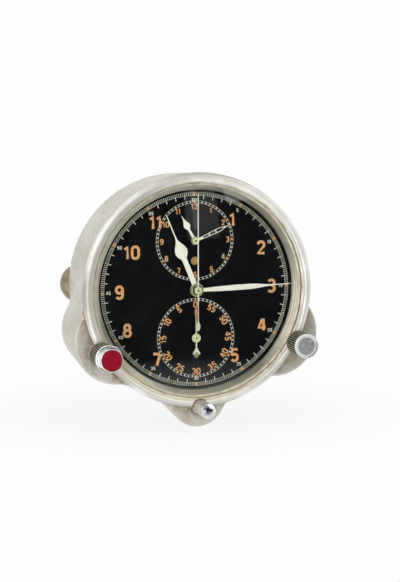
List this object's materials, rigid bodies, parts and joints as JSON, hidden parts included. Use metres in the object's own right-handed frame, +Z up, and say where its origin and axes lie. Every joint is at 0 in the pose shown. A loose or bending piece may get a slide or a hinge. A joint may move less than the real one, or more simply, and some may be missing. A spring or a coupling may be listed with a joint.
{
  "type": "dashboard clock",
  "caption": "Round dash clock with stop-seconds, minute counter and elapsed-time dials, two crowns and a pusher in case lobes, thumb nuts on rear studs.",
  "frame": {"origin": "middle of the flat rear face, on the axis of the centre hands", "axes": "+Z up to 12 o'clock, -Y out of the dial towards the viewer, +X to 3 o'clock"},
  "size_m": [0.0902, 0.0636, 0.0916],
  "materials": {
    "case_aluminium": "matt, lightly pitted, warm grey",
    "polished_nickel": "polished, worn, slightly yellowed",
    "steel": "turned and brushed",
    "aged_brass": "brown, tarnished",
    "brass": "fine grained",
    "glass": "clear, polished",
    "rubber": "matt black",
    "dial_black": "satin black paint",
    "red_enamel": "gloss red",
    "lume_cream": "matt cream luminous filling",
    "flag_orange": "matt orange",
    "flag_green": "matt dark green"
  },
  "bodies": {
    "case": {"case_body": "case_aluminium", "rear_cover": "case_aluminium", "rear_cover_screws": "steel", "rear_studs": "steel", "thumb_nuts": "aged_brass", "bezel_ring": "polished_nickel", "bezel_pins": "polished_nickel", "flange_ring": "polished_nickel", "crystal": "glass", "crystal_gasket": "rubber", "dial_surround": "dial_black", "dial_plate": "dial_black", "crown_tubes": "polished_nickel", "pusher_tube": "polished_nickel", "pusher_spring": "steel", "main_plate": "brass", "top_plate": "brass", "pillars": "brass", "pillar_screws": "steel", "case_screws": "steel"},
    "minute_work": {"cannon_pinion": "steel", "minute_hand": "lume_cream"},
    "minute_wheel": {"minute_wheel": "brass"},
    "hour_work": {"hour_wheel": "brass", "hour_hand": "lume_cream"},
    "large_setting_wheel": {"large_setting_wheel": "steel"},
    "small_setting_wheel": {"small_setting_wheel": "steel"},
    "stop_seconds": {"stop_seconds_arbor": "steel", "stop_seconds_hand": "lume_cream"},
    "minute_counter": {"counter_wheel": "brass", "counter_hand": "lume_cream"},
    "elapsed_minute_work": {"elapsed_cannon_pinion": "steel", "elapsed_minute_hand": "lume_cream"},
    "elapsed_minute_wheel": {"elapsed_minute_wheel": "brass"},
    "elapsed_hour_work": {"elapsed_hour_wheel": "brass", "elapsed_hour_hand": "lume_cream"},
    "fourth_wheel": {"fourth_wheel": "brass"},
    "third_wheel": {"third_wheel": "brass"},
    "centre_wheel": {"centre_wheel": "brass"},
    "barrel": {"barrel": "brass", "mainspring": "steel"},
    "escape_wheel": {"escape_wheel": "steel"},
    "pallet_fork": {"pallet_fork": "steel"},
    "balance": {"balance_wheel": "brass", "hairspring": "steel"},
    "winding_crown": {"red_crown": "steel", "red_crown_cap": "polished_nickel", "red_crown_disc": "red_enamel", "winding_stem": "steel"},
    "winding_wheel": {"winding_wheel": "steel"},
    "barrel_arbor": {"barrel_arbor": "steel", "ratchet_wheel": "steel"},
    "setting_slide": {"setting_sleeve": "brass"},
    "setting_crown": {"steel_crown": "steel", "setting_stem": "steel"},
    "pusher": {"pusher": "polished_nickel"},
    "rocker": {"operating_rocker": "steel"},
    "upper_flag": {"upper_flag": "flag_orange"},
    "lower_flag": {"lower_flag": "flag_green"}
  },
  "joints": [
    {"name": "minute_hand_turn", "type": "hinge", "parent": "case", "child": "minute_work", "pos_m": [0, -0.026, 0], "axis": [0, 1, 0], "continuous": true},
    {"name": "minute_wheel_turn", "type": "hinge", "parent": "case", "child": "minute_wheel", "pos_m": [0.00525, -0.025, -0.00291], "axis": [0, 1, 0], "continuous": true},
    {"name": "hour_hand_turn", "type": "hinge", "parent": "case", "child": "hour_work", "pos_m": [0, -0.026, 0], "axis": [0, 1, 0], "continuous": true},
    {"name": "large_setting_wheel_turn", "type": "hinge", "parent": "case", "child": "large_setting_wheel", "pos_m": [0.01793, -0.025, -0.00994], "axis": [0, 1, 0], "continuous": true},
    {"name": "small_setting_wheel_turn", "type": "hinge", "parent": "case", "child": "small_setting_wheel", "pos_m": [0.03061, -0.025, -0.01697], "axis": [0, 1, 0], "continuous": true},
    {"name": "stop_seconds_turn", "type": "hinge", "parent": "case", "child": "stop_seconds", "pos_m": [0, -0.02, 0], "axis": [0, 1, 0], "continuous": true},
    {"name": "minute_counter_turn", "type": "hinge", "parent": "case", "child": "minute_counter", "pos_m": [0, -0.02, -0.0175], "axis": [0, 1, 0], "continuous": true},
    {"name": "elapsed_minute_turn", "type": "hinge", "parent": "case", "child": "elapsed_minute_work", "pos_m": [0, -0.02, 0.0175], "axis": [0, 1, 0], "continuous": true},
    {"name": "elapsed_minute_wheel_turn", "type": "hinge", "parent": "case", "child": "elapsed_minute_wheel", "pos_m": [0.0052, -0.025, 0.0205], "axis": [0, 1, 0], "continuous": true},
    {"name": "elapsed_hour_turn", "type": "hinge", "parent": "case", "child": "elapsed_hour_work", "pos_m": [0, -0.026, 0.0175], "axis": [0, 1, 0], "continuous": true},
    {"name": "fourth_wheel_turn", "type": "hinge", "parent": "case", "child": "fourth_wheel", "pos_m": [0.01449, -0.016, 0.00332], "axis": [0, 1, 0], "continuous": true},
    {"name": "third_wheel_turn", "type": "hinge", "parent": "case", "child": "third_wheel", "pos_m": [0.00779, -0.016, 0.0045], "axis": [0, 1, 0], "continuous": true},
    {"name": "centre_wheel_turn", "type": "hinge", "parent": "case", "child": "centre_wheel", "pos_m": [0, -0.016, 0], "axis": [0, 1, 0], "continuous": true},
    {"name": "barrel_turn", "type": "hinge", "parent": "case", "child": "barrel", "pos_m": [-0.01364, -0.016, -0.00788], "axis": [0, 1, 0], "continuous": true},
    {"name": "escape_wheel_turn", "type": "hinge", "parent": "case", "child": "escape_wheel", "pos_m": [0.01779, -0.016, -0.0024], "axis": [0, 1, 0], "continuous": true},
    {"name": "pallet_fork_swing", "type": "hinge", "parent": "case", "child": "pallet_fork", "pos_m": [0.01828, -0.016, -0.00797], "axis": [0, 1, 0], "range_deg": [-6, 6]},
    {"name": "balance_swing", "type": "hinge", "parent": "case", "child": "balance", "pos_m": [0.01696, -0.016, -0.01546], "axis": [0, 1, 0], "range_deg": [-150, 150]},
    {"name": "winding_crown_turn", "type": "hinge", "parent": "case", "child": "winding_crown", "pos_m": [-0.03637, -0.03, -0.021], "axis": [0, 1, 0], "continuous": true},
    {"name": "winding_wheel_turn", "type": "hinge", "parent": "case", "child": "winding_wheel", "pos_m": [-0.02815, -0.007, -0.01625], "axis": [0, 1, 0], "continuous": true},
    {"name": "barrel_arbor_turn", "type": "hinge", "parent": "case", "child": "barrel_arbor", "pos_m": [-0.01364, -0.016, -0.00788], "axis": [0, 1, 0], "continuous": true},
    {"name": "setting_crown_pull", "type": "slide", "parent": "case", "child": "setting_slide", "axis": [0, -1, 0], "range_m": [0, 0.0015]},
    {"name": "setting_crown_turn", "type": "hinge", "parent": "setting_slide", "child": "setting_crown", "pos_m": [0.03673, -0.03, -0.02036], "axis": [0, 1, 0], "continuous": true},
    {"name": "pusher_press", "type": "slide", "parent": "case", "child": "pusher", "axis": [0, 1, 0], "range_m": [0, 0.002], "stiffness_N_per_m": 400, "springref_m": -0.001, "deforming": ["pusher_spring"]},
    {"name": "rocker_swing", "type": "hinge", "parent": "case", "child": "rocker", "pos_m": [0, -0.0145, -0.0335], "axis": [1, 0, 0], "range_deg": [-1, 16]},
    {"name": "upper_flag_turn", "type": "hinge", "parent": "case", "child": "upper_flag", "pos_m": [0.0065, -0.027, 0.0104], "axis": [0, 1, 0], "range_deg": [0, 32]},
    {"name": "lower_flag_turn", "type": "hinge", "parent": "case", "child": "lower_flag", "pos_m": [0.0055, -0.027, -0.0206], "axis": [0, 1, 0], "range_deg": [0, 32]}
  ],
  "couplings": [
    {"joint": "minute_wheel_turn", "follows": "minute_hand_turn", "ratio": -0.33333},
    {"joint": "hour_hand_turn", "follows": "minute_hand_turn", "ratio": 0.083333},
    {"joint": "large_setting_wheel_turn", "follows": "minute_hand_turn", "ratio": 0.15},
    {"joint": "small_setting_wheel_turn", "follows": "minute_hand_turn", "ratio": -0.33333},
    {"joint": "minute_counter_turn", "follows": "stop_seconds_turn", "ratio": -0.016667},
    {"joint": "elapsed_minute_wheel_turn", "follows": "elapsed_minute_turn", "ratio": -0.33333},
    {"joint": "elapsed_hour_turn", "follows": "elapsed_minute_turn", "ratio": 0.083333},
    {"joint": "third_wheel_turn", "follows": "fourth_wheel_turn", "ratio": -0.13333},
    {"joint": "centre_wheel_turn", "follows": "fourth_wheel_turn", "ratio": 0.016667},
    {"joint": "barrel_turn", "follows": "fourth_wheel_turn", "ratio": -0.0020833},
    {"joint": "escape_wheel_turn", "follows": "fourth_wheel_turn", "ratio": -10},
    {"joint": "winding_wheel_turn", "follows": "winding_crown_turn", "ratio": -0.46154},
    {"joint": "barrel_arbor_turn", "follows": "winding_crown_turn", "ratio": 0.29268},
    {"joint": "rocker_swing", "follows": "pusher_press", "rad_per_m": 119.05}
  ]
}
